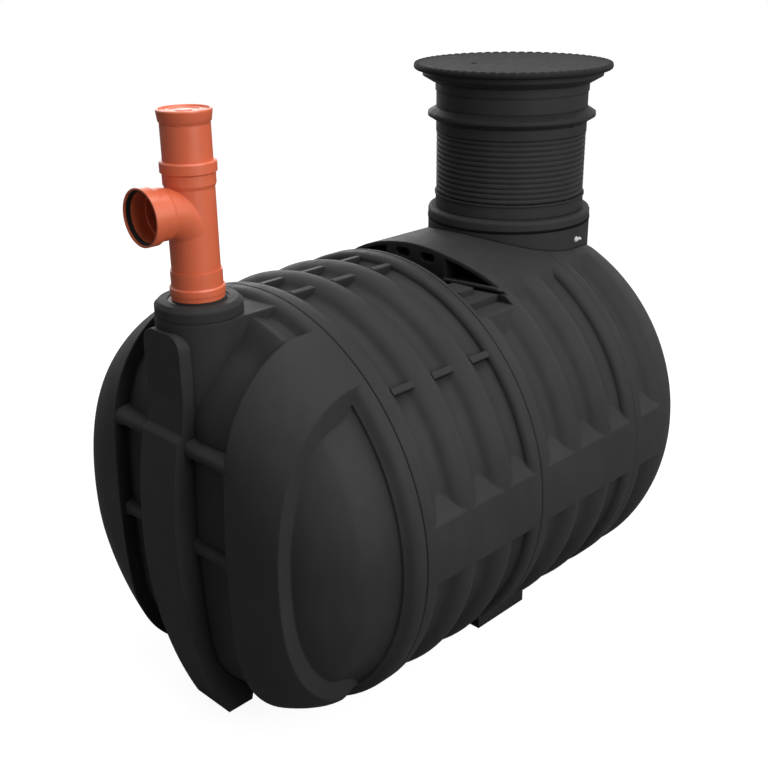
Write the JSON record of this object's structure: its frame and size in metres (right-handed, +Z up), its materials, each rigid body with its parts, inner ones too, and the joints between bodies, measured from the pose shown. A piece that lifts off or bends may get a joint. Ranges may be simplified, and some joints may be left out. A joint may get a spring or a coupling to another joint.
{
  "type": "packaged sewage treatment plant",
  "caption": "Ribbed horizontal buried tank of black plastic with dished ends, an upright access shaft with a lid, and an orange inlet tee.",
  "frame": {"origin": "on the ground under the middle of the tank's length and width", "axes": "+X along the tank from the inlet end to the access shaft, +Y to the tank's left side seen from the inlet end, +Z up"},
  "size_m": [2.3262, 1.59, 2.235],
  "materials": {
    "tank_plastic": "moulded black polyethylene, satin with fine grain",
    "pipe_plastic": "orange drain pipe, satin",
    "seal_rubber": "black rubber",
    "inlet_rubber": "light grey rubber"
  },
  "bodies": {
    "root": {"front_end": "tank_plastic", "front_spine": "tank_plastic", "front_webs": "tank_plastic", "middle_section": "tank_plastic", "rear_section": "tank_plastic", "rear_end": "tank_plastic", "rear_spine": "tank_plastic", "rear_webs": "tank_plastic", "left_foot": "tank_plastic", "right_foot": "tank_plastic", "inlet_boss": "tank_plastic", "neck": "tank_plastic", "shaft_collar": "tank_plastic", "lower_sleeve": "tank_plastic", "corrugated_shaft": "tank_plastic", "upper_sleeve": "tank_plastic", "flange_ring": "tank_plastic", "top_ring": "tank_plastic", "lid_frame": "tank_plastic", "lid": "tank_plastic", "inlet_stub": "pipe_plastic", "lower_socket": "pipe_plastic", "tee": "pipe_plastic", "riser_pipe": "pipe_plastic", "end_cap": "pipe_plastic", "branch_seal": "seal_rubber", "neck_gasket": "seal_rubber", "inlet_seal": "inlet_rubber"}
  },
  "joints": []
}
